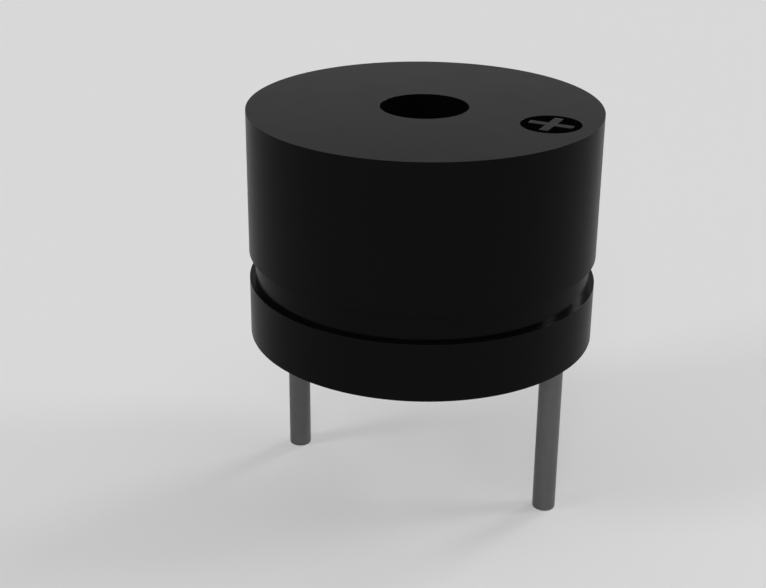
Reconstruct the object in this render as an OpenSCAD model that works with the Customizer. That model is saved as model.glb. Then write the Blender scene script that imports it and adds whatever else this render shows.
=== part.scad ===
// Round self-driving electromagnetic buzzer with two solder pins, in millimetres.
// The base sits on the circuit board at z = 0 and the case stands up along +Z.
// +X points to the positive pin and to the plus mark above it.

/* [Case] */
// Outer diameter of the case and of the base band
body_d = 12; // [11.8:0.1:13]
// Height from the seating plane to the top face
body_h = 8; // [7.8:0.1:9.5]
// Thickness of the top wall
top_wall = 1; // [0.8:0.1:1.2]
// Diameter of the sound chamber above the diaphragm
chamber_d = 9.8; // [9.4:0.1:9.9]
// Diameter of the sound hole
sound_hole_d = 3; // [1.5:0.1:4]
// Radius of the visible moulded edges
edge_r = 0.02; // [0.02:0.01:0.1]

/* [Polarity mark] */
// Diameter of the round recess
mark_d = 2; // [1.7:0.1:2.2]
// Distance of the recess from the axis
mark_offset = 4.5; // [4.2:0.1:4.6]
// Depth of the recess
mark_depth = 0.5; // [0.2:0.05:0.6]
// Length of each bar of the plus sign
plus_span = 1.5; // [1.2:0.02:1.6]
// Width of each bar of the plus sign
plus_w = 0.3; // [0.2:0.02:0.4]

/* [Base] */
// Height of the outer band
band_h = 2; // [1.9:0.05:2.1]
// Height of the groove between band and case
groove_h = 1; // [0.8:0.05:1.1]
// Depth of the groove
groove_depth = 0.2; // [0.14:0.02:0.34]
// Outer diameter of the spigot inside the case
spigot_d = 10.5; // [10.3:0.1:10.6]
// Inner diameter of the spigot, round the magnet
motor_d = 9.2; // [8.8:0.1:9.3]
// Height of the diaphragm's ledge above the deck
ledge_h = 3.2; // [3:0.1:3.4]
// Height of the rim round the diaphragm
rim_h = 0.3; // [0.2:0.05:0.4]
// Depth of the tray under the deck
tray_depth = 1.5; // [1.45:0.05:1.55]
// Thickness of the wall round the tray
tray_wall = 0.4; // [0.3:0.02:0.4]

/* [Pins] */
// Diameter of each pin
pin_d = 0.8; // [0.6:0.05:0.8]
// Distance between the pins
pin_pitch = 10; // [9.8:0.1:10]
// Length of a pin below the seating plane
pin_len = 6.1; // [3:0.1:12]

/* [Motor] */
// Thickness of the yoke plate
yoke_t = 0.6; // [0.5:0.05:0.8]
// Diameter of the iron core
core_d = 2.2; // [1.8:0.1:2.4]
// Air gap between the core and the diaphragm
air_gap = 0.2; // [0.1:0.05:0.4]
// Diameter of the bobbin's flanges
bobbin_d = 5.8; // [5.4:0.1:5.9]
// Diameter of the winding over its outermost turns
winding_d = 5.5; // [4.8:0.1:5.6]
// Turns side by side in the winding's outermost layer
layer_turns = 14; // [10:1:18]
// Inner diameter of the ring magnet
magnet_bore_d = 6.8; // [6.7:0.1:7.4]
// Thickness of the diaphragm
diaphragm_t = 0.06; // [0.04:0.01:0.1]
// Diameter of the weight on the diaphragm
armature_d = 3.4; // [2.6:0.1:4]
// Thickness of the weight on the diaphragm
armature_t = 0.4; // [0.2:0.05:0.6]

/* [Circuit] */
// Thickness of the circuit board
board_t = 0.6; // [0.5:0.05:0.65]
// Thickness of the copper tracks
copper_t = 0.035; // [0.02:0.005:0.05]
// Width of the copper tracks
track_w = 0.3; // [0.2:0.05:0.4]
// Diameter of the coil wire's ends
lead_d = 0.12; // [0.08:0.01:0.14]

/* [Hidden] */
$fn = 96;

// Overrun of a cut past the face that it opens
over = 0.1;
// Clearance round a piece that drops into its seat
slip = 0.03;

// Radii and levels of the case and the base
body_r = body_d / 2;
hole_r = sound_hole_d / 2;
chamber_r = chamber_d / 2;
spigot_r = spigot_d / 2;
motor_r = motor_d / 2;
skirt_r = spigot_r + slip;
rim_r = (spigot_r + motor_r) / 2 + 0.075;
tray_r = body_r - tray_wall;
neck_r = body_r - groove_depth;
seat_z = band_h + groove_h;
deck_z = tray_depth;
ledge_z = band_h + ledge_h;
rim_z = ledge_z + rim_h;
step_z = rim_z + slip;
ceiling_z = body_h - top_wall;

// Levels of the motor, standing on the deck
yoke_z = band_h + yoke_t;
core_r = core_d / 2;
core_z = ledge_z - air_gap;
stake_r = 0.7;
stake_flare = 0.3;
flange_t = 0.2;
tube_wall = 0.15;
tube_r = core_r + slip + tube_wall;
bobbin_z = core_z - 0.25;
winding_z0 = yoke_z + flange_t;
winding_z1 = bobbin_z - flange_t;
turn_pitch = (winding_z1 - winding_z0) / layer_turns;
magnet_z = bobbin_z - 0.05;
diaphragm_r = rim_r - slip;
diaphragm_z = ledge_z + diaphragm_t;

// Levels of the circuit, hanging under the deck
board_r = tray_r - 0.05;
board_z = deck_z - board_t;
pad_z = board_z - copper_t;
resin_z = 0.08;
resin_dish = 0.1;
dish_r = 4.3;
dish_ball_r = (dish_r ^ 2 + resin_dish ^ 2) / (2 * resin_dish);

// Steps of a pin: plain leg, locking neck in the resin, shoulder on the board, tail through it
pin_r = pin_d / 2;
tail_r = 0.24;
leg_z = resin_z + 0.02;
neck_len = 0.6;
pin_chamfer = 0.05;

// Wire ends: two on each side, between the bobbin and the magnet
lead_ring_r = bobbin_d / 2 + 0.22;
lead_angle = 35;
lead_z = winding_z0 + lead_d;
lead_end_z = pad_z - 0.15;
lead_spots = [
    for (side = [0, 180], turn = [-lead_angle, lead_angle])
        [lead_ring_r * cos(side + turn), lead_ring_r * sin(side + turn)]
];
base_spot = lead_spots[3];
collector_spot = lead_spots[2];
bias_spot = lead_spots[0];
supply_spot = lead_spots[1];
deck_hole_d = 0.5;
yoke_hole_d = 0.4;
board_hole_d = lead_d + 0.08;
lead_pad_d = 0.7;
pin_pad = [0.95, 1.4];

// Transistor under the board, seen from above: [length, width, height]
chip_size = [2, 1.25, 0.56];
chip_spot = [-2.55, 0.1];
chip_lift = 0.06;
lead_pitch = 1.3;
gull_w = 0.3;
gull_reach = 0.5;
gull_t = 0.12;
gull_top = 0.36;
collector_pad = chip_spot + [0, chip_size.y / 2 + gull_reach - 0.15];
emitter_pad = chip_spot - [lead_pitch / 2, chip_size.y / 2 + gull_reach - 0.15];
base_pad = chip_spot + [lead_pitch / 2, -chip_size.y / 2 - gull_reach + 0.15];
chip_pad = [0.42, 0.5];

// Resistor under the board: [length, width, height]
chip_r_size = [1.6, 0.8, 0.45];
chip_r_spot = [1.3, -3.6];
cap_len = 0.3;
cap_skin = 0.03;
cap_pad = [0.6, 0.9];
cap_pads = [for (side = [-1, 1]) chip_r_spot + [side * (chip_r_size.x / 2 + 0.05), 0]];

// Copper runs from pad to pad
supply_run = [[pin_pitch / 2, 0], [3.9, 1.2], supply_spot];
feed_run = [[pin_pitch / 2, 0], [4.3, -2.2], [3.2, -3.6], cap_pads[1]];
bias_run = [cap_pads[0], [0.5, -2.6], [1.4, -1.8], bias_spot];
base_run = [base_spot, base_pad];
collector_run = [collector_spot, collector_pad];
return_run = [emitter_pad, [-4.1, -0.5], [-pin_pitch / 2, 0]];
copper_runs = [supply_run, feed_run, bias_run, base_run, collector_run, return_run];

// Half sections, as [radius, height] points
case_section = [
    [hole_r, ceiling_z],
    [hole_r, body_h],
    [body_r, body_h],
    [body_r, seat_z],
    [skirt_r, seat_z],
    [skirt_r, step_z],
    [chamber_r, step_z],
    [chamber_r, ceiling_z]
];
base_section = [
    [0, deck_z],
    [tray_r, deck_z],
    [tray_r, 0],
    [body_r, 0],
    [body_r, band_h],
    [neck_r, band_h],
    [neck_r, seat_z],
    [spigot_r, seat_z],
    [spigot_r, rim_z],
    [rim_r, rim_z],
    [rim_r, ledge_z],
    [motor_r, ledge_z],
    [motor_r, band_h],
    [0, band_h]
];
pin_section = [
    [0, -pin_len],
    [pin_r - pin_chamfer, -pin_len],
    [pin_r, -pin_len + pin_chamfer],
    [pin_r, leg_z],
    [tail_r, leg_z],
    [tail_r, leg_z + neck_len],
    [pin_r, leg_z + neck_len],
    [pin_r, pad_z],
    [tail_r, pad_z],
    [tail_r, deck_z],
    [0, deck_z]
];
bobbin_section = [
    [core_r + slip, yoke_z],
    [bobbin_d / 2, yoke_z],
    [bobbin_d / 2, winding_z0],
    [tube_r, winding_z0],
    [tube_r, winding_z1],
    [bobbin_d / 2, winding_z1],
    [bobbin_d / 2, bobbin_z],
    [core_r + slip, bobbin_z]
];
stake_section = [
    [0, band_h],
    [stake_r + stake_flare, band_h],
    [stake_r, band_h + stake_flare],
    [stake_r, yoke_z],
    [0, yoke_z]
];
gull_section = [
    [0, gull_top - gull_t],
    [0.14, gull_top - gull_t],
    [0.2, 0],
    [gull_reach, 0],
    [gull_reach, gull_t],
    [0.3, gull_t],
    [0.24, gull_top],
    [0, gull_top]
];

// Waste outside a rounded corner at spot, where the material lies towards side = [+-1, +-1]
module corner_waste(spot, side, r) {
    low = [for (i = [0, 1]) side[i] < 0 ? spot[i] - r : spot[i] - over];
    difference() {
        translate(low) square(r + over);
        translate(spot + side * r) circle(r);
    }
}

// Copies children to each [x, y] of a list
module at_spots(spots) {
    for (spot = spots) translate(spot) children();
}

// Copper strip with round corners along a run of points
module copper_run(run) {
    for (i = [1 : len(run) - 1]) {
        step = run[i] - run[i - 1];
        translate(run[i - 1])
            rotate(atan2(step.y, step.x))
                translate([0, -track_w / 2]) square([norm(step), track_w]);
    }
    at_spots(run) circle(d = track_w);
}

// Solder cone hanging from a pad round a wire of radius wire_r
module solder_cone(pad_r, tip_r, height, wire_r) {
    rotate_extrude() polygon([
        [wire_r, pad_z], [pad_r, pad_z], [tip_r, pad_z - height], [wire_r, pad_z - height]
    ]);
}

// Solder wedge at the end of a part: climbs height over length, away from +X
module solder_wedge(length, width, height) {
    translate([0, width / 2, pad_z])
        rotate([90, 0, 0])
            linear_extrude(width) polygon([[0, 0], [length, 0], [0, -height]]);
}

// Cup with the sound hole and the recessed plus mark
module upper_case() {
    color("#1c1c1e") difference() {
        rotate_extrude() difference() {
            polygon(case_section);
            corner_waste([body_r, body_h], [-1, -1], edge_r);
            corner_waste([body_r, seat_z], [-1, 1], edge_r);
            corner_waste([hole_r, body_h], [1, -1], edge_r);
        }
        polarity_recess();
    }
}

// Round pocket that leaves the plus sign standing level with the top face
module polarity_recess() {
    translate([mark_offset, 0, body_h - mark_depth]) difference() {
        cylinder(d = mark_d, h = mark_depth + over);
        for (turn = [0, 90]) rotate(turn)
            translate([-plus_span / 2, -plus_w / 2, 0]) cube([plus_span, plus_w, mark_depth]);
    }
}

// Band, shoulder, spigot, deck and tray in one moulding
module base_frame() {
    color("#1c1c1e") difference() {
        rotate_extrude() difference() {
            polygon(base_section);
            corner_waste([body_r, band_h], [-1, -1], edge_r);
            corner_waste([body_r, 0], [-1, 1], edge_r);
        }
        at_spots(lead_spots) translate([0, 0, deck_z - over])
            cylinder(d = deck_hole_d, h = band_h - deck_z + 2 * over);
    }
}

module pin() {
    rotate_extrude() polygon(pin_section);
}

module positive_pin() {
    color("#7c7d7f") translate([pin_pitch / 2, 0, 0]) pin();
}

module negative_pin() {
    color("#7c7d7f") translate([-pin_pitch / 2, 0, 0]) pin();
}

// Round plate with a countersunk seat for the staked core and four holes for the wire ends
module yoke_plate() {
    color("#9a9ca0") difference() {
        translate([0, 0, band_h]) cylinder(r = motor_r - slip, h = yoke_t);
        rotate_extrude() polygon(stake_section);
        at_spots(lead_spots) translate([0, 0, band_h - over])
            cylinder(d = yoke_hole_d, h = yoke_t + 2 * over);
    }
}

// Core that stands on the plate, with its foot staked into the countersink
module pole_core() {
    color("#a4a6aa") {
        rotate_extrude() polygon(stake_section);
        translate([0, 0, yoke_z]) cylinder(r = core_r, h = core_z - yoke_z);
    }
}

module coil_bobbin() {
    color("#d9d4c4") rotate_extrude() polygon(bobbin_section);
}

// Wound wire: a solid drum whose outside shows the turns of the last layer
module coil_winding() {
    turn_r = turn_pitch / 2;
    drum_r = winding_d / 2 - turn_r * 0.7;
    color("#b4652d") rotate_extrude() {
        translate([tube_r, winding_z0]) square([drum_r - tube_r, winding_z1 - winding_z0]);
        for (i = [0 : layer_turns - 1])
            translate([winding_d / 2 - turn_r, winding_z0 + (i + 0.5) * turn_pitch]) circle(turn_r);
    }
}

// Wire ends: out of the winding, round a bend and down through deck and board
module coil_leads() {
    color("#b4652d") for (spot = lead_spots) rotate(atan2(spot.y, spot.x)) {
        translate([winding_d / 2, 0, lead_z])
            rotate([0, 90, 0]) cylinder(d = lead_d, h = lead_ring_r - winding_d / 2);
        translate([lead_ring_r, 0, lead_z]) sphere(d = lead_d);
        translate([lead_ring_r, 0, lead_end_z]) cylinder(d = lead_d, h = lead_z - lead_end_z);
    }
}

module magnet_ring() {
    color("#3b3a3c") translate([0, 0, yoke_z]) difference() {
        cylinder(r = motor_r - slip, h = magnet_z - yoke_z);
        translate([0, 0, -over]) cylinder(d = magnet_bore_d, h = magnet_z - yoke_z + 2 * over);
    }
}

// Thin disc that lies on the ledge inside the rim
module diaphragm() {
    color("#c3c6ca") translate([0, 0, ledge_z]) cylinder(r = diaphragm_r, h = diaphragm_t);
}

module armature_disc() {
    color("#b0b3b8") translate([0, 0, diaphragm_z]) cylinder(d = armature_d, h = armature_t);
}

module circuit_board() {
    color("#2f6b43") difference() {
        translate([0, 0, board_z]) cylinder(r = board_r, h = board_t);
        for (side = [-1, 1]) translate([side * pin_pitch / 2, 0, board_z - over])
            cylinder(r = tail_r, h = board_t + 2 * over);
        at_spots(lead_spots) translate([0, 0, board_z - over])
            cylinder(d = board_hole_d, h = board_t + 2 * over);
    }
}

// Pads and tracks on the underside of the board
module copper_tracks() {
    color("#c98a3f") translate([0, 0, pad_z]) linear_extrude(copper_t) difference() {
        union() {
            for (run = copper_runs) copper_run(run);
            at_spots(lead_spots) circle(d = lead_pad_d);
            for (side = [-1, 1]) translate([side * pin_pitch / 2, 0]) square(pin_pad, center = true);
            at_spots([collector_pad, emitter_pad, base_pad]) square(chip_pad, center = true);
            at_spots(cap_pads) square(cap_pad, center = true);
        }
        at_spots(lead_spots) circle(d = board_hole_d);
        for (side = [-1, 1]) translate([side * pin_pitch / 2, 0]) circle(r = tail_r);
    }
}

// Moulded body of the transistor, hanging under the board
module drive_transistor() {
    color("#202022")
        translate([chip_spot.x - chip_size.x / 2, chip_spot.y - chip_size.y / 2,
            pad_z - chip_lift - chip_size.z])
            cube(chip_size);
}

// One bent lead that leaves the body towards +X and comes up to its pad
module gull_lead() {
    translate([chip_size.y / 2, gull_w / 2, pad_z])
        rotate([90, 0, 0]) linear_extrude(gull_w) mirror([0, 1]) polygon(gull_section);
}

module transistor_leads() {
    color("#b9bcc0") translate(chip_spot) {
        rotate(90) gull_lead();
        for (side = [-1, 1]) translate([side * lead_pitch / 2, 0]) rotate(-90) gull_lead();
    }
}

// Ceramic body of the chip resistor, inside its end caps
module bias_resistor() {
    inner = [for (size = chip_r_size) size - 2 * cap_skin];
    color("#e6e3dc")
        translate([chip_r_spot.x - inner.x / 2, chip_r_spot.y - inner.y / 2,
            pad_z - cap_skin - inner.z])
            cube(inner);
}

module resistor_caps() {
    low = [chip_r_spot.x - chip_r_size.x / 2, chip_r_spot.y - chip_r_size.y / 2, pad_z - chip_r_size.z];
    color("#c4c6c9") difference() {
        for (shift = [0, chip_r_size.x - cap_len]) translate(low + [shift, 0, 0])
            cube([cap_len, chip_r_size.y, chip_r_size.z]);
        bias_resistor();
    }
}

module solder_joints() {
    color("#cfd2d5") {
        for (side = [-1, 1]) translate([side * pin_pitch / 2, 0])
            solder_cone(pin_pad.x / 2, pin_r + 0.02, 0.15, pin_r);
        at_spots(lead_spots) solder_cone(lead_pad_d / 2, lead_d / 2 + 0.03, 0.14, lead_d / 2);
        for (side = [-1, 1]) translate(chip_r_spot) rotate(side < 0 ? 180 : 0)
            translate([chip_r_size.x / 2, 0]) solder_wedge(0.22, chip_r_size.y, 0.3);
        translate(chip_spot) for (turn = [90, -90], shift = turn > 0 ? [0] : [-1, 1])
            translate([shift * lead_pitch / 2, 0]) rotate(turn)
                translate([chip_size.y / 2 + gull_reach, 0]) solder_wedge(0.09, gull_w, gull_t);
    }
}

// Resin poured up to the board, with a shallow dish where it shrank, closing round all it covers
module sealing_resin() {
    color("#141416") difference() {
        translate([0, 0, resin_z]) cylinder(r = tray_r, h = board_z - resin_z);
        translate([0, 0, resin_z + resin_dish - dish_ball_r]) sphere(dish_ball_r, $fn = 360);
        positive_pin();
        negative_pin();
        coil_leads();
        copper_tracks();
        drive_transistor();
        transistor_leads();
        bias_resistor();
        resistor_caps();
        solder_joints();
    }
}

upper_case();
base_frame();
positive_pin();
negative_pin();
yoke_plate();
pole_core();
coil_bobbin();
coil_winding();
coil_leads();
magnet_ring();
diaphragm();
armature_disc();
circuit_board();
copper_tracks();
drive_transistor();
transistor_leads();
bias_resistor();
resistor_caps();
solder_joints();
sealing_resin();
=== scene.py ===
import math

import bmesh
import bpy
import numpy as np
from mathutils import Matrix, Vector


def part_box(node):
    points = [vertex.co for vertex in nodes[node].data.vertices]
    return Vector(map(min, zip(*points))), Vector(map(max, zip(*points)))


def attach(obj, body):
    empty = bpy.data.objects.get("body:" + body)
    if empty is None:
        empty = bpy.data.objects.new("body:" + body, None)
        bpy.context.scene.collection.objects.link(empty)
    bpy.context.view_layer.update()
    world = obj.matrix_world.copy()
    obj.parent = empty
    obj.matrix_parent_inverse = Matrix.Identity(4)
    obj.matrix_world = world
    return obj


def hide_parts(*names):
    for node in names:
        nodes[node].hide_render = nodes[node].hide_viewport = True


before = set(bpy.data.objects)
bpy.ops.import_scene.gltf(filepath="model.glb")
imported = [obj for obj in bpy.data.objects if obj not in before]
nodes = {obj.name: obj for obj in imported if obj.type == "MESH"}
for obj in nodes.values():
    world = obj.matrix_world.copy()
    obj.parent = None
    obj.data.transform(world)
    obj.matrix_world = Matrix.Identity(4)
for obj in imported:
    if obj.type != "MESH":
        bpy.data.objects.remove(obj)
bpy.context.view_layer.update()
mm = 0.001  # the frame is in metres, the shapes below in millimetres
print("frame loaded:", len(nodes), "nodes")


# shapes

meshing = {
    "weld": 0.0005,          # points closer than this become one
    "sliver": 0.0002,        # edges shorter than this go
    "sharpAngle": 38,        # degrees between two faces from which their edge is drawn sharp
}


def boxMm(node):
    # lowest and highest corner of a CAD node, in millimetres
    return [np.array(corner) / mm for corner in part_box(node)]


def unit(vector):
    # the same direction at length 1
    return vector / np.linalg.norm(vector)


def roundedOutline(corners, steps=5, guard=1.35):
    # straight runs through (radius, height, fillet) corners: a fillet is an arc that touches both runs,
    # and one more point a little way out on each run keeps the shading of the runs straight
    points = []
    for i, (r, z, fillet) in enumerate(corners):
        here = np.array((r, z), float)
        if not fillet:
            points.append(here[None])
            continue
        back = unit(np.array(corners[i - 1][:2]) - here)
        ahead = unit(np.array(corners[i + 1][:2]) - here)
        half = math.acos(float(back @ ahead)) / 2
        reach = fillet / math.tan(half)
        centre = here + unit(back + ahead) * fillet / math.sin(half)
        start, stop = here + back * reach - centre, here + ahead * reach - centre
        turn = math.pi - 2 * half
        t = np.linspace(0, 1, steps + 1)[:, None]
        arc = centre + (np.sin((1 - t) * turn) * start + np.sin(t * turn) * stop) / math.sin(turn)
        points += [(here + back * reach * guard)[None], arc, (here + ahead * reach * guard)[None]]
    return np.vstack(points)


def revolve(outline, angles, centre=(0, 0)):
    # every outline point (r, z) goes round the axis: (x + r cos a, y + r sin a, z)
    r, z = outline[:, :1], outline[:, 1:]
    return np.stack((centre[0] + r * np.cos(angles), centre[1] + r * np.sin(angles), z + 0 * angles), -1)


def gridFaces(rows, columns):
    # quads of a grid whose last column joins the first
    i, j = np.meshgrid(np.arange(rows - 1), np.arange(columns), indexing="ij")
    nextJ = (j + 1) % columns
    quads = (i * columns + j, i * columns + nextJ, (i + 1) * columns + nextJ, (i + 1) * columns + j)
    return np.stack(quads, -1)


def columnAngles(sectors, across, between):
    # headings of the columns: `across` steps through each (middle, half) sector, in degrees, and even
    # steps of about `between` degrees from one sector to the next
    runs = []
    for i, (middle, half) in enumerate(sectors):
        following = sectors[(i + 1) % len(sectors)]
        start = middle + half
        stop = following[0] - following[1] + (360 if i + 1 == len(sectors) else 0)
        runs.append(np.linspace(middle - half, start, across, endpoint=False))
        runs.append(np.linspace(start, stop, round((stop - start) / between), endpoint=False))
    return np.radians(np.concatenate(runs))


def sectorLoop(middle, half, inner, outer, steps):
    # outline of a ring sector, (r cos a, r sin a) along two arcs and two radii with `steps` points a side,
    # counter-clockwise from the middle of its outer arc
    corners = [(-half, outer), (half, outer), (half, inner), (-half, inner), (-half, outer)]
    sides = [np.linspace(start, stop, steps, endpoint=False) for start, stop in zip(corners, corners[1:])]
    lean, radius = np.vstack(sides).T
    heading = np.radians(middle + lean)
    loop = np.column_stack((radius * np.cos(heading), radius * np.sin(heading)))
    return np.roll(loop, -steps // 2, axis=0)


def ringFace(radii, angles, height, sectors, inner, outer):
    # flat ring (r cos a, r sin a, height) on the columns, left open where the sectors lie between the
    # radii inner and outer
    slack = 1e-6
    grid = revolve(np.column_stack((radii, np.full(len(radii), height))), angles)
    faces = gridFaces(len(radii), len(angles))
    openRows = (radii[:-1] > inner - slack) & (radii[:-1] < outer - slack)
    heading = np.degrees((angles + np.append(angles[1:], angles[0] + 2 * np.pi)) / 2)
    inSector = [np.abs((heading - middle + 180) % 360 - 180) < half for middle, half in sectors]
    openFaces = openRows[:, None] & np.any(inSector, axis=0)[None, :]
    return grid.reshape(-1, 3), faces[~openFaces]


def stack(rings):
    # flat loops (points, height), one above or inside the other, as one grid
    return np.stack([np.column_stack((points, np.full(len(points), height))) for points, height in rings])


def wholeGrid(grid):
    # a grid's points and all its quads, as a patch
    return grid.reshape(-1, 3), gridFaces(*grid.shape[:2]).reshape(-1, 4)


def makePiece(name, patches, material, node):
    # joins patches (points, quads) into one closed mesh: shared edges and poles merge, normals face out
    starts = np.cumsum([0] + [len(points) for points, _ in patches])
    points = np.vstack([p for p, _ in patches]) * mm
    quads = np.vstack([q + start for (_, q), start in zip(patches, starts)])
    mesh = bpy.data.meshes.new(name)
    mesh.from_pydata(points, [], quads)
    build = bmesh.new()
    build.from_mesh(mesh)
    bmesh.ops.remove_doubles(build, verts=build.verts, dist=meshing["weld"] * mm)
    bmesh.ops.dissolve_degenerate(build, edges=build.edges, dist=meshing["sliver"] * mm)
    bmesh.ops.recalc_face_normals(build, faces=build.faces)
    openEdges = sum(not edge.is_manifold for edge in build.edges)
    build.to_mesh(mesh)
    build.free()
    mesh.shade_smooth()
    mesh.set_sharp_from_angle(angle=math.radians(meshing["sharpAngle"]))
    mesh.materials.append(material)
    piece = bpy.data.objects.new(name, mesh)
    bpy.context.scene.collection.objects.link(piece)
    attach(piece, "root")
    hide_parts(node)
    print(name, "built:", len(mesh.polygons), "faces,", openEdges, "open edges")


# materials

def addNode(tree, kind, inputs, **settings):
    # one shader node; an input takes a value, or a socket to be linked
    node = tree.nodes.new(kind)
    for key, value in settings.items():
        setattr(node, key, value)
    for key, value in inputs.items():
        if isinstance(value, bpy.types.NodeSocket):
            tree.links.new(value, node.inputs[key])
        else:
            node.inputs[key].default_value = value
    return node


def compute(tree, operation, first, second):
    # one step of arithmetic on two sockets or values
    return addNode(tree, "ShaderNodeMath", {0: first, 1: second}, operation=operation).outputs[0]


def newFinish(name, **sockets):
    # Principled material with its constant sockets set; returns it with its tree and shader
    material = bpy.data.materials.new(name)
    material.use_nodes = True
    tree = material.node_tree
    shader = tree.nodes["Principled BSDF"]
    for key, value in sockets.items():
        shader.inputs[key.replace("_", " ")].default_value = value
    return material, tree, shader


def coordinatesMm(tree, stretch=(1, 1, 1)):
    # object coordinates in millimetres; a factor below 1 draws the pattern out along its axis
    place = addNode(tree, "ShaderNodeTexCoord", {}).outputs["Object"]
    scale = [factor / mm for factor in stretch]
    return addNode(tree, "ShaderNodeMapping", {"Vector": place, "Scale": scale}).outputs[0]


def grain(tree, perMm, detail=2.0, roughness=0.55, stretch=(1, 1, 1)):
    # cloudy noise with that many lumps a millimetre
    where = coordinatesMm(tree, stretch)
    inputs = {"Vector": where, "Scale": perMm, "Detail": detail, "Roughness": roughness}
    return addNode(tree, "ShaderNodeTexNoise", inputs).outputs["Fac"]


def cells(tree, perMm):
    # distance from the middles of small cells, that many a millimetre
    inputs = {"Vector": coordinatesMm(tree), "Scale": perMm}
    return addNode(tree, "ShaderNodeTexVoronoi", inputs).outputs["Distance"]


def waves(tree, scale, distortion, **settings):
    # slightly bent bands or rings, about 0.31 / scale millimetres apart
    inputs = {"Vector": coordinatesMm(tree), "Scale": scale, "Distortion": distortion}
    return addNode(tree, "ShaderNodeTexWave", inputs, **settings).outputs["Fac"]


def blendColours(tree, factor, first, second):
    # sockets 6 and 7 and output 2 of the mix node are its colours
    inputs = {"Factor": factor, 6: (*first, 1), 7: (*second, 1)}
    return addNode(tree, "ShaderNodeMix", inputs, data_type="RGBA").outputs[2]


def setColour(tree, shader, factor, first, second):
    # lets a pattern choose between two tones
    tree.links.new(blendColours(tree, factor, first, second), shader.inputs["Base Color"])


def setRoughness(tree, shader, value, low, high, fromLow=0.3, fromHigh=0.7):
    # carries a pattern's values over to a roughness from low to high
    inputs = {"Value": value, "From Min": fromLow, "From Max": fromHigh, "To Min": low, "To Max": high}
    level = addNode(tree, "ShaderNodeMapRange", inputs)
    tree.links.new(level.outputs[0], shader.inputs["Roughness"])


def relief(tree, shader, height, depthMm):
    # raises the surface by a pattern, that many millimetres deep
    inputs = {"Height": height, "Distance": depthMm * mm, "Strength": 1.0}
    bump = addNode(tree, "ShaderNodeBump", inputs)
    tree.links.new(bump.outputs[0], shader.inputs["Normal"])


def casePlastic():
    # deep black moulding: fine satin grain, slow drift in colour and gloss from the flow in the mould
    material, tree, shader = newFinish("casePlastic", IOR=1.06, Coat_Weight=0.12, Coat_Roughness=0.13,
                                       Coat_IOR=1.5)
    flow = grain(tree, 0.8)
    setColour(tree, shader, flow, (0.0023, 0.0023, 0.0024), (0.0029, 0.0029, 0.003))
    setRoughness(tree, shader, flow, 0.3, 0.34)
    relief(tree, shader, grain(tree, 22, detail=3), 0.0004)
    return material


def pinMetal():
    # dull tinned wire: fine lines along the pin from drawing, patchy colour
    material, tree, shader = newFinish("pinMetal", Metallic=1.0)
    lines = grain(tree, 14, detail=3, stretch=(1, 1, 0.05))
    setColour(tree, shader, grain(tree, 2.5), (0.115, 0.115, 0.117), (0.15, 0.15, 0.152))
    setRoughness(tree, shader, lines, 0.42, 0.55)
    relief(tree, shader, lines, 0.0012)
    return material


def motorIron():
    # plated soft iron with faint turning marks
    material, tree, shader = newFinish("motorIron", Metallic=1.0)
    cloud = grain(tree, 5, detail=3)
    setColour(tree, shader, cloud, (0.36, 0.36, 0.37), (0.5, 0.5, 0.51))
    setRoughness(tree, shader, cloud, 0.3, 0.46)
    relief(tree, shader, waves(tree, 3.5, 0.6, wave_type="RINGS", rings_direction="Z"), 0.001)
    return material


def bobbinPlastic():
    # natural moulded plastic, slightly clouded
    material, tree, shader = newFinish("bobbinPlastic", IOR=1.5)
    cloud = grain(tree, 1.5)
    setColour(tree, shader, cloud, (0.68, 0.63, 0.5), (0.78, 0.74, 0.62))
    setRoughness(tree, shader, cloud, 0.4, 0.52)
    relief(tree, shader, grain(tree, 18, detail=3), 0.001)
    return material


def enamelledWire():
    # copper under clear amber enamel, its tone changing from turn to turn
    material, tree, shader = newFinish("enamelledWire", Metallic=1.0, Coat_Weight=0.6, Coat_Roughness=0.12)
    turns = grain(tree, 4, stretch=(0.2, 0.2, 2))
    setColour(tree, shader, turns, (0.42, 0.15, 0.045), (0.62, 0.27, 0.09))
    setRoughness(tree, shader, turns, 0.22, 0.36)
    return material


def ferrite():
    # sintered ferrite: dark grey grains with a few pits
    material, tree, shader = newFinish("ferrite", IOR=1.6)
    grains = cells(tree, 9)
    setColour(tree, shader, grains, (0.03, 0.03, 0.032), (0.06, 0.06, 0.064))
    setRoughness(tree, shader, grain(tree, 7, detail=4), 0.5, 0.72)
    relief(tree, shader, grains, 0.004)
    return material


def diaphragmSteel():
    # thin rolled steel with straight rolling lines
    material, tree, shader = newFinish("diaphragmSteel", Metallic=1.0)
    lines = grain(tree, 10, detail=4, stretch=(0.05, 1, 1))
    setColour(tree, shader, lines, (0.5, 0.51, 0.53), (0.62, 0.63, 0.65))
    setRoughness(tree, shader, lines, 0.24, 0.36)
    relief(tree, shader, lines, 0.0008)
    return material


def boardLaminate():
    # green mask over glass cloth: the weave shows faintly as two crossed waves
    material, tree, shader = newFinish("boardLaminate", IOR=1.5)
    warp, weft = (waves(tree, 0.8, 0.5, bands_direction=axis) for axis in ("X", "Y"))
    weave = compute(tree, "MULTIPLY", warp, weft)
    setColour(tree, shader, weave, (0.035, 0.13, 0.06), (0.055, 0.18, 0.085))
    setRoughness(tree, shader, grain(tree, 6), 0.28, 0.4)
    relief(tree, shader, weave, 0.002)
    return material


def bareCopper():
    # copper foil, a little tarnished
    material, tree, shader = newFinish("bareCopper", Metallic=1.0)
    tarnish = grain(tree, 4, detail=4)
    setColour(tree, shader, tarnish, (0.5, 0.24, 0.11), (0.76, 0.42, 0.22))
    setRoughness(tree, shader, tarnish, 0.25, 0.42)
    return material


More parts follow.
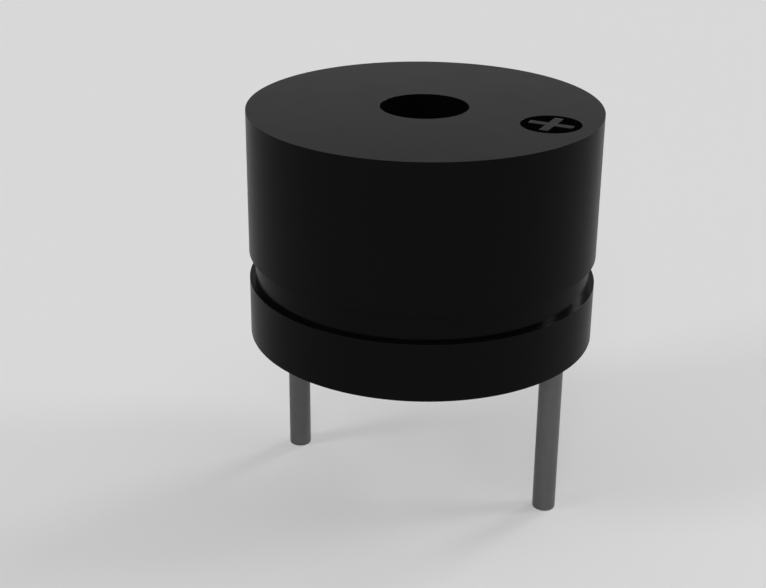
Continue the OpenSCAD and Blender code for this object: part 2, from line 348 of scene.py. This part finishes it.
def chipMoulding():
    # filled epoxy of the transistor's body
    material, tree, shader = newFinish("chipMoulding", IOR=1.5)
    filler = grain(tree, 30, detail=4)
    setColour(tree, shader, filler, (0.014, 0.014, 0.015), (0.03, 0.03, 0.032))
    setRoughness(tree, shader, filler, 0.5, 0.66)
    relief(tree, shader, filler, 0.002)
    return material


def tinnedMetal():
    # tin plating with a soft cloud in its gloss
    material, tree, shader = newFinish("tinnedMetal", Metallic=1.0)
    cloud = grain(tree, 9, detail=3)
    setColour(tree, shader, cloud, (0.56, 0.57, 0.59), (0.68, 0.69, 0.71))
    setRoughness(tree, shader, cloud, 0.24, 0.4)
    return material


def chipCeramic():
    # white alumina with fine grey specks
    material, tree, shader = newFinish("chipCeramic", IOR=1.6)
    specks = grain(tree, 26, detail=4)
    setColour(tree, shader, specks, (0.68, 0.66, 0.62), (0.84, 0.82, 0.78))
    setRoughness(tree, shader, specks, 0.42, 0.58)
    return material


def brightSolder():
    # solder that set in small crystals
    material, tree, shader = newFinish("brightSolder", Metallic=1.0)
    crystals = cells(tree, 11)
    setColour(tree, shader, crystals, (0.7, 0.71, 0.72), (0.52, 0.53, 0.54))
    setRoughness(tree, shader, crystals, 0.18, 0.34, 0, 0.8)
    return material


def pouredResin():
    # glossy black resin with the slow swell of a poured surface
    material, tree, shader = newFinish("pouredResin", IOR=1.5)
    swell = grain(tree, 0.7, detail=1.5)
    setColour(tree, shader, swell, (0.004, 0.004, 0.0042), (0.007, 0.007, 0.0074))
    setRoughness(tree, shader, grain(tree, 5), 0.12, 0.2)
    relief(tree, shader, swell, 0.02)
    return material


plastic, metal = casePlastic(), pinMetal()
print("materials of the outside ready")


# upper case: a revolved cup whose top carries the sound hole and the recessed plus mark

caseShape = {
    "edge": 0.004,           # fillet of the edges that show
    "innerEdge": 0.04,       # fillet of the edges inside
    "holeRadius": 1.5,
    "holeRows": 6,           # rows of faces from the hole to the sector
    "ceiling": 7.0,          # underside of the top wall
    "chamberRadius": 4.9,
    "step": 5.53,            # ledge over the base's rim
    "skirtRadius": 5.28,
    "markCentre": 4.5,
    "markRadius": 1.0,
    "markDepth": 0.5,
    "plusHalf": 0.75,        # half a bar's length
    "barHalf": 0.15,         # half a bar's width
    "tipColumns": 4,         # columns over half an arm's tip
    "sideColumns": 13,       # columns over an arm's side
    "markEdge": 0.004,       # fillet of the recess and of the plus
    "sector": (0, 17),       # middle and half width of the top's sector that holds the mark, degrees
    "sectorReach": (3.2, 5.8),
    "columnStep": 1.08,      # degrees between columns
}


def plusOutline(angles, half, bar, inset):
    # where rays from the middle leave the plus: through an arm's tip at `half` or its side at `bar`;
    # an inset outline keeps each point on its own side, so that corners stay corners
    tiny = 1e-9
    arm = np.round(angles / (math.pi / 2)) * math.pi / 2
    lean = angles - arm
    slope = np.maximum(np.abs(np.tan(lean)), tiny)
    onTip = slope <= bar / half + tiny
    along = np.where(onTip, half, np.maximum(bar / slope, bar)) - inset
    across = np.where(onTip, slope * half / bar, 1) * (bar - inset) * np.sign(lean)
    x = along * np.cos(arm) - across * np.sin(arm)
    y = along * np.sin(arm) + across * np.cos(arm)
    return np.column_stack((x, y))


def markRings(shape, top):
    # from the sector's outline to the recess, down its wall, over its floor, up the plus to its middle
    tip = math.atan(shape["barHalf"] / shape["plusHalf"])
    overTip = np.linspace(0, tip, shape["tipColumns"], endpoint=False)
    octant = np.concatenate((overTip, np.linspace(tip, math.pi / 4, shape["sideColumns"])))
    quarter = np.concatenate((octant, math.pi / 2 - octant[-2:0:-1]))
    angles = (quarter + np.arange(4)[:, None] * math.pi / 2).ravel()
    steps = len(quarter)
    middle = np.array((shape["markCentre"], 0.0))
    ray = np.column_stack((np.cos(angles), np.sin(angles)))
    edge, depth = shape["markEdge"], shape["markDepth"]
    outer = sectorLoop(*shape["sector"], *shape["sectorReach"], steps)
    rim = middle + ray * (shape["markRadius"] + 2 * edge)
    wall = middle + ray * shape["markRadius"]
    foot = middle + plusOutline(angles, shape["plusHalf"], shape["barHalf"], 0)
    cap = middle + plusOutline(angles, shape["plusHalf"], shape["barHalf"], edge)
    bend = np.linspace(0, math.pi / 2, 4)  # angles along a fillet
    rings = [(outer + (rim - outer) * t, top) for t in (0, 0.35, 0.7, 0.9, 1)]
    rings += [(wall + ray * edge * (1 - math.sin(a)), top - edge * (1 - math.cos(a))) for a in bend]
    rings += [(wall, top - depth * t) for t in (0.3, 1)]
    rings += [(wall + (foot - wall) * t, top - depth) for t in (0.5, 1)]
    rings += [(foot, top - depth * 0.3)]
    rings += [(foot + (cap - foot) * (1 - math.cos(a)), top - edge * (1 - math.sin(a))) for a in bend]
    rings += [(middle + (cap - middle) * t, top) for t in (0.85, 0.4, 0)]
    return steps, stack(rings)


def buildUpperCase(shape):
    # outline (r, z) turned about the axis: over the rim, down the skirt, up inside and out through the
    # hole; the top is a flat ring from the hole outwards, with the mark's rings in its open sector
    low, high = boxMm("upper_case")
    radius, seat, top = high[0], low[2], high[2]
    edge, inner = shape["edge"], shape["innerEdge"]
    ceiling, ledge = shape["ceiling"], shape["step"]
    hole, chamber, skirt = shape["holeRadius"], shape["chamberRadius"], shape["skirtRadius"]
    holeRim = hole + 3 * edge  # clear of the hole's fillet
    near, far = shape["sectorReach"]
    steps, rings = markRings(shape, top)
    angles = columnAngles([shape["sector"]], steps, shape["columnStep"])
    shell = roundedOutline([
        (far, top, 0), (radius, top, edge), (radius, seat, edge), (skirt, seat, inner),
        (skirt, ledge, inner), (chamber, ledge, inner), (chamber, ceiling, inner),
        (hole, ceiling, inner), (hole, top, edge), (holeRim, top, 0),
    ])
    inside = np.linspace(holeRim, near, shape["holeRows"], endpoint=False)
    radii = np.concatenate((inside, np.linspace(near, far, steps + 1)))
    face = ringFace(radii, angles, top, [shape["sector"]], near, far)
    patches = [wholeGrid(revolve(shell, angles)), face, wholeGrid(rings)]
    makePiece("upperCase", patches, plastic, "upper_case")


buildUpperCase(caseShape)


# base: band, groove, shoulder, spigot, deck and tray in one revolved moulding, with four holes in the
# deck for the coil's wire ends

baseShape = {
    "edge": 0.004,           # fillet of the edges that show
    "innerEdge": 0.04,       # fillet of the edges inside
    "bandHeight": 2.0,
    "neckRadius": 5.8,       # bottom of the groove
    "shoulder": 3.0,         # top of the groove, where the case sits
    "spigotRadius": 5.25,
    "rimRadius": 5.0,
    "ledge": 5.2,            # the diaphragm lies here
    "motorRadius": 4.6,
    "deck": (1.5, 2.0),      # underside and top of the deck
    "trayRadius": 5.6,
    "wireRing": 3.12,        # distance of the wire holes from the axis
    "wireHole": 0.25,
    "wireSectors": [(35, 13), (145, 13), (215, 13), (325, 13)],  # middle and half width, degrees
    "sectorReach": (2.4, 3.9),
    "sectorSteps": 20,
    "columnStep": 1.3,       # degrees between columns
}


def buildBase(shape):
    # outline (r, z) turned about the axis: from the deck up to the rim, down outside over the groove and
    # up into the tray; the deck's two faces are flat rings, and in their open sectors rings run from the
    # sector's outline in to the wire hole, down through it and out again below
    low, high = boxMm("base_frame")
    radius, bottom, rimTop = high[0], low[2], high[2]
    edge, inner = shape["edge"], shape["innerEdge"]
    band, shoulder, ledge = shape["bandHeight"], shape["shoulder"], shape["ledge"]
    neck, spigot, rim = shape["neckRadius"], shape["spigotRadius"], shape["rimRadius"]
    motor, tray = shape["motorRadius"], shape["trayRadius"]
    under, deck = shape["deck"]
    near, far = shape["sectorReach"]
    steps, sectors = shape["sectorSteps"], shape["wireSectors"]
    angles = columnAngles(sectors, steps, shape["columnStep"])
    shell = roundedOutline([
        (far, deck, 0), (motor, deck, inner), (motor, ledge, inner), (rim, ledge, inner),
        (rim, rimTop, inner), (spigot, rimTop, inner), (spigot, shoulder, inner), (neck, shoulder, 0),
        (neck, band, 0), (radius, band, edge), (radius, bottom, edge), (tray, bottom, inner),
        (tray, under, inner), (far, under, 0),
    ])
    patches = [wholeGrid(revolve(shell, angles))]
    inside = np.linspace(1, near, 3, endpoint=False)
    radii = np.concatenate(([0], inside, np.linspace(near, far, steps + 1)))
    patches += [ringFace(radii, angles, height, sectors, near, far) for height in (under, deck)]
    turn = np.linspace(0, 2 * np.pi, 4 * steps, endpoint=False)
    for middle, half in sectors:
        loop = sectorLoop(middle, half, near, far, steps)
        heading = math.radians(middle)
        centre = shape["wireRing"] * np.array((math.cos(heading), math.sin(heading)))
        ray = np.column_stack((np.cos(turn + heading), np.sin(turn + heading)))
        ring = centre + shape["wireHole"] * ray
        rings = [(loop + (ring - loop) * t, deck) for t in (0, 0.5, 1)]
        rings += [(loop + (ring - loop) * t, under) for t in (1, 0.5, 0)]
        patches.append(wholeGrid(stack(rings)))
    makePiece("baseFrame", patches, plastic, "base_frame")


buildBase(baseShape)


# pins: round legs with a locking neck inside the resin and a thin tail through the board

pinShape = {
    "tipEdge": 0.05,         # fillet of the free end
    "edge": 0.02,            # fillet of its other edges
    "tailRadius": 0.24,
    "legTop": 0.1,
    "neckTop": 0.7,
    "collarTop": 0.865,
    "columns": 96,
}


def buildPin(shape, name, node):
    # outline (r, z) turned about the pin's own axis, from the middle of its free end up to its tail's end
    low, high = boxMm(node)
    radius = (high[0] - low[0]) / 2
    centre = ((high[0] + low[0]) / 2, 0)
    tail, edge = shape["tailRadius"], shape["edge"]
    legTop, neckTop, collarTop = shape["legTop"], shape["neckTop"], shape["collarTop"]
    outline = roundedOutline([
        (0, low[2], 0), (radius, low[2], shape["tipEdge"]), (radius, legTop, edge), (tail, legTop, 0),
        (tail, neckTop, 0), (radius, neckTop, edge), (radius, collarTop, edge), (tail, collarTop, 0),
        (tail, high[2], edge), (0, high[2], 0),
    ])
    angles = np.linspace(0, 2 * np.pi, shape["columns"], endpoint=False)
    makePiece(name, [wholeGrid(revolve(outline, angles, centre))], metal, node)


buildPin(pinShape, "positivePin", "positive_pin")
buildPin(pinShape, "negativePin", "negative_pin")


# inner pieces keep their CAD shapes and get a finish each

innerFinishes = {
    motorIron: ["yoke_plate", "pole_core", "armature_disc"],
    bobbinPlastic: ["coil_bobbin"],
    enamelledWire: ["coil_winding", "coil_leads"],
    ferrite: ["magnet_ring"],
    diaphragmSteel: ["diaphragm"],
    boardLaminate: ["circuit_board"],
    bareCopper: ["copper_tracks"],
    chipMoulding: ["drive_transistor"],
    tinnedMetal: ["transistor_leads", "resistor_caps"],
    chipCeramic: ["bias_resistor"],
    brightSolder: ["solder_joints"],
    pouredResin: ["sealing_resin"],
}
for makeFinish, names in innerFinishes.items():
    finish = makeFinish()
    for name in names:
        nodes[name].data.materials.clear()
        nodes[name].data.materials.append(finish)
print("inner pieces finished:", sum(map(len, innerFinishes.values())))


# stage: seamless pale floor under the pins, soft lamps and a pale surround

stage = {
    "floorSize": 3.0,        # metres
    "floorColour": 0.5,
    "floorDrift": 0.005,     # share by which the paper's tone drifts up and down
    "floorGlow": 0.288,      # part of the floor's brightness that no shadow reaches
    "paleLevel": 0.693,      # brightness of the surround where it is seen or mirrored
    "skyLevel": 0.074,       # brightness of the surround as a light
    "lampDistance": 3.0,     # metres
}

# heading, height, half width and half height in degrees, then the light on the floor in W/m2
lamps = {
    "backRight": (69.4, 31.9, 6.7, 5.2, 0.353),
    "right": (34.1, 32.4, 7.6, 6.9, 0.381),
    "left": (226.8, 33.7, 7.6, 6.7, 0.405),
    "front": (290.4, 33.2, 8.7, 8.1, 0.307),
    "top": (0, 90, 31.8, 31.8, 1.323),  # so broad that about two thirds of this reach the floor
}

# low strips below the two lamps on the right, which only reflections show
glints = {
    "rightGlint": (32.5, 24.4, 5, 4, 0.6),
    "backRightGlint": (69, 23.7, 7, 5, 0.7),
}

camera = {
    "placeMm": (19.596, -42.278, 21.375),
    "tilt": 67.241,          # degrees up from straight down
    "heading": 27.865,       # degrees round from +Y
    "lens": 67.434,          # millimetres
    "sensor": 36,            # millimetres
    "shift": (0.0408, -0.0245),
    "clip": (0.001, 20),     # metres
}


def paleRays(tree):
    # 1 for the rays that show the pale surround: straight to the camera, mirrored or through glass
    path = addNode(tree, "ShaderNodeLightPath", {}).outputs
    seen = compute(tree, "MAXIMUM", path["Is Camera Ray"], path["Is Glossy Ray"])
    return compute(tree, "MAXIMUM", seen, path["Is Transmission Ray"])


def buildFloor(stage):
    # square sheet at the height of the pins' ends, clear from below so that the underside can be seen
    half, height = stage["floorSize"] / 2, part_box("positive_pin")[0].z
    mesh = bpy.data.meshes.new("floor")
    corners = np.array(((-1, -1, 0), (1, -1, 0), (1, 1, 0), (-1, 1, 0))) * half + (0, 0, height)
    mesh.from_pydata(corners, [], [(0, 1, 2, 3)])
    material = bpy.data.materials.new("floorPaper")
    material.use_nodes = True
    tree = material.node_tree
    tree.nodes.clear()
    fibres = grain(tree, 0.05, detail=1.0, roughness=0.5)
    level, drift = stage["floorColour"], stage["floorDrift"]
    tone = blendColours(tree, fibres, (level * (1 - drift),) * 3, (level * (1 + drift),) * 3)
    paper = addNode(tree, "ShaderNodeBsdfDiffuse", {"Color": tone})
    strength = compute(tree, "MULTIPLY", paleRays(tree), stage["floorGlow"])
    glow = addNode(tree, "ShaderNodeEmission", {"Color": (1, 1, 1, 1), "Strength": strength})
    both = addNode(tree, "ShaderNodeAddShader", {0: paper.outputs[0], 1: glow.outputs[0]})
    under = addNode(tree, "ShaderNodeNewGeometry", {}).outputs["Backfacing"]
    clear = addNode(tree, "ShaderNodeBsdfTransparent", {})
    seen = addNode(tree, "ShaderNodeMixShader", {0: under, 1: both.outputs[0], 2: clear.outputs[0]})
    addNode(tree, "ShaderNodeOutputMaterial", {"Surface": seen.outputs[0]})
    mesh.materials.append(material)
    floor = bpy.data.objects.new("floor", mesh)
    bpy.context.scene.collection.objects.link(floor)


def buildWorld(stage):
    # pale where it is seen or mirrored, dimmer as a light
    world = bpy.data.worlds.new("surround")
    bpy.context.scene.world = world
    world.use_nodes = True
    tree = world.node_tree
    inputs = {"Value": paleRays(tree), "To Min": stage["skyLevel"], "To Max": stage["paleLevel"]}
    level = addNode(tree, "ShaderNodeMapRange", inputs)
    surround = tree.nodes["Background"]
    surround.inputs["Color"].default_value = (1, 1, 1, 1)
    tree.links.new(level.outputs[0], surround.inputs["Strength"])


def buildLamp(name, lamp, distance, onPaper=True):
    # soft box that looks at the middle; the power for a light E on the floor is E pi d^2 / sin(height)
    heading, height, halfWidth, halfHeight = (math.radians(angle) for angle in lamp[:4])
    across = math.cos(height)
    towards = Vector((math.cos(heading) * across, math.sin(heading) * across, math.sin(height)))
    light = bpy.data.lights.new(name, "AREA")
    light.shape = "RECTANGLE"
    light.size, light.size_y = (2 * distance * math.tan(half) for half in (halfWidth, halfHeight))
    light.energy = lamp[4] * math.pi * distance ** 2 / math.sin(height)
    box = bpy.data.objects.new(name, light)
    box.location = towards * distance
    box.rotation_euler = (-towards).to_track_quat("-Z", "Y").to_euler()
    box.visible_diffuse = onPaper
    bpy.context.scene.collection.objects.link(box)


def buildCamera(camera):
    # eye at the photograph's viewing angle
    data = bpy.data.cameras.new("camera")
    data.lens, data.sensor_width = camera["lens"], camera["sensor"]
    data.shift_x, data.shift_y = camera["shift"]
    data.clip_start, data.clip_end = camera["clip"]
    eye = bpy.data.objects.new("camera", data)
    eye.location = Vector(camera["placeMm"]) * mm
    eye.rotation_euler = (math.radians(camera["tilt"]), 0, math.radians(camera["heading"]))
    bpy.context.scene.collection.objects.link(eye)
    bpy.context.scene.camera = eye


buildFloor(stage)
buildWorld(stage)
for name, lamp in lamps.items():
    buildLamp(name + "Lamp", lamp, stage["lampDistance"])
for name, lamp in glints.items():
    buildLamp(name, lamp, stage["lampDistance"], onPaper=False)
buildCamera(camera)
bpy.context.scene.view_settings.view_transform = "Standard"
print("stage ready:", len(lamps), "lamps and", len(glints), "glints")
